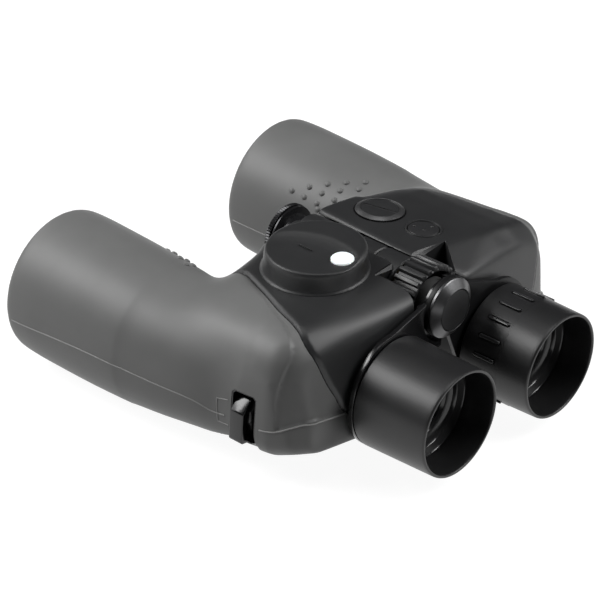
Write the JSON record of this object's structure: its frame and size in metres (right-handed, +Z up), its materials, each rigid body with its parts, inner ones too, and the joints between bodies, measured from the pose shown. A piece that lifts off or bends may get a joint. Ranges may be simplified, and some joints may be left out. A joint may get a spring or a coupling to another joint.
{
  "type": "binoculars",
  "caption": "Centre-focus porro-prism binoculars with grey rubber armour, a compass under a dome on the left half and a lit dial battery cap and button on the right.",
  "frame": {"origin": "centre of the bounding box at the height of the surface it lies on", "axes": "+Y forward along the optical axes, +X to the user's right, +Z up"},
  "size_m": [0.2048, 0.193, 0.0815],
  "materials": {
    "housing": "dark moulded cover, satin",
    "armour": "mid-grey rubber armour, satin",
    "black_trim": "black moulding",
    "lens": "coated optical glass",
    "prism": "polished prism glass",
    "shelf": "machined aluminium",
    "brass": "turned brass",
    "steel": "turned steel",
    "hinge_trim": "black moulding, ringed",
    "window": "white translucent plastic",
    "clear_plastic": "clear bowl",
    "card": "printed card",
    "wheel_core": "black anodised",
    "grip_rubber": "ribbed black rubber",
    "arm_paint": "black semi-gloss paint",
    "ocular_metal": "black anodised",
    "eyecup_rubber": "black satin rubber",
    "cell_steel": "coin cell",
    "board": "green circuit board",
    "seal_rubber": "black seal",
    "cap_metal": "dark disc with a bright milled edge",
    "button_rubber": "black rubber"
  },
  "bodies": {
    "left_half": {"left_housing": "housing", "left_armour": "armour", "left_front_ring": "black_trim", "left_objective": "lens", "left_prism_rear": "prism", "left_prism_front": "prism", "left_prism_shelf": "shelf", "left_strap_bar": "black_trim", "left_guide": "brass", "hinge_tube": "steel", "thrust_ring": "brass", "tripod_collar": "hinge_trim", "compass_dome": "housing", "compass_window": "window", "compass_bowl": "clear_plastic", "compass_pivot": "steel", "compass_lens": "lens", "left_screws": "steel"},
    "compass_card": {"compass_card": "card"},
    "focus_wheel": {"focus_wheel_core": "wheel_core", "focus_wheel_grip": "grip_rubber"},
    "left_eyepiece": {"left_arm": "arm_paint", "focus_spindle": "steel", "hub_cap": "arm_paint", "left_ocular": "ocular_metal", "left_field_lens": "lens", "left_eye_lens": "lens", "left_lens_ring": "black_trim", "left_eyecup": "eyecup_rubber", "reticle": "prism"},
    "right_half": {"right_housing": "housing", "right_armour": "armour", "right_front_ring": "black_trim", "right_objective": "lens", "right_prism_rear": "prism", "right_prism_front": "prism", "right_prism_shelf": "shelf", "right_strap_bar": "black_trim", "right_guide": "brass", "battery_cup": "black_trim", "battery_cells": "cell_steel", "battery_contact": "brass", "lamp_board": "board", "button_bezel": "housing", "right_screws": "steel"},
    "right_eyepiece": {"right_arm": "arm_paint"},
    "right_ocular": {"right_ocular": "ocular_metal", "right_field_lens": "lens", "right_eye_lens": "lens", "right_lens_ring": "black_trim"},
    "right_eyecup": {"right_eyecup": "eyecup_rubber", "diopter_ring": "eyecup_rubber"},
    "battery_seal": {"battery_seal": "seal_rubber"},
    "battery_cap": {"battery_cap": "cap_metal"},
    "lamp_button": {"lamp_button": "button_rubber"}
  },
  "joints": [
    {"name": "hinge", "type": "hinge", "parent": "left_half", "child": "right_half", "pos_m": [0, 0, 0.0575], "axis": [0, 1, 0], "range_deg": [-10.8, 21.8]},
    {"name": "left_focus", "type": "slide", "parent": "left_half", "child": "left_eyepiece", "axis": [0, -1, 0], "range_m": [-0.0015, 0.007]},
    {"name": "right_focus", "type": "slide", "parent": "right_half", "child": "right_eyepiece", "axis": [0, -1, 0], "range_m": [-0.0016, 0.0071]},
    {"name": "wheel_turn", "type": "hinge", "parent": "left_half", "child": "focus_wheel", "pos_m": [0, -0.0465, 0.0575], "axis": [0, 1, 0], "range_deg": [-104, 478]},
    {"name": "diopter_slide", "type": "slide", "parent": "right_eyepiece", "child": "right_ocular", "axis": [0, -1, 0], "range_m": [-0.0015, 0.0015]},
    {"name": "diopter_turn", "type": "hinge", "parent": "right_ocular", "child": "right_eyecup", "pos_m": [0.03365, -0.0765, 0.031], "axis": [0, 1, 0], "range_deg": [-51, 51]},
    {"name": "compass_turn", "type": "hinge", "parent": "left_half", "child": "compass_card", "pos_m": [-0.0315, -0.0142, 0.0688], "axis": [-0.0924, 0, 0.9957], "continuous": true},
    {"name": "cap_lift", "type": "slide", "parent": "right_half", "child": "battery_seal", "axis": [0, 0, 1], "range_m": [0, 0.0015]},
    {"name": "cap_turn", "type": "hinge", "parent": "battery_seal", "child": "battery_cap", "pos_m": [0.0255, -0.001, 0.071], "axis": [0, 0, 1], "range_deg": [-1, 542]},
    {"name": "lamp_press", "type": "slide", "parent": "right_half", "child": "lamp_button", "axis": [0, 0, -1], "range_m": [0, 0.0008], "stiffness_N_per_m": 1000, "springref_m": -0.0003}
  ],
  "couplings": [
    {"joint": "right_focus", "follows": "left_focus", "ratio": 1},
    {"joint": "wheel_turn", "follows": "left_focus", "rad_per_m": 1185.5},
    {"joint": "diopter_turn", "follows": "diopter_slide", "rad_per_m": 581},
    {"joint": "cap_turn", "follows": "cap_lift", "rad_per_m": 6283.2}
  ]
}
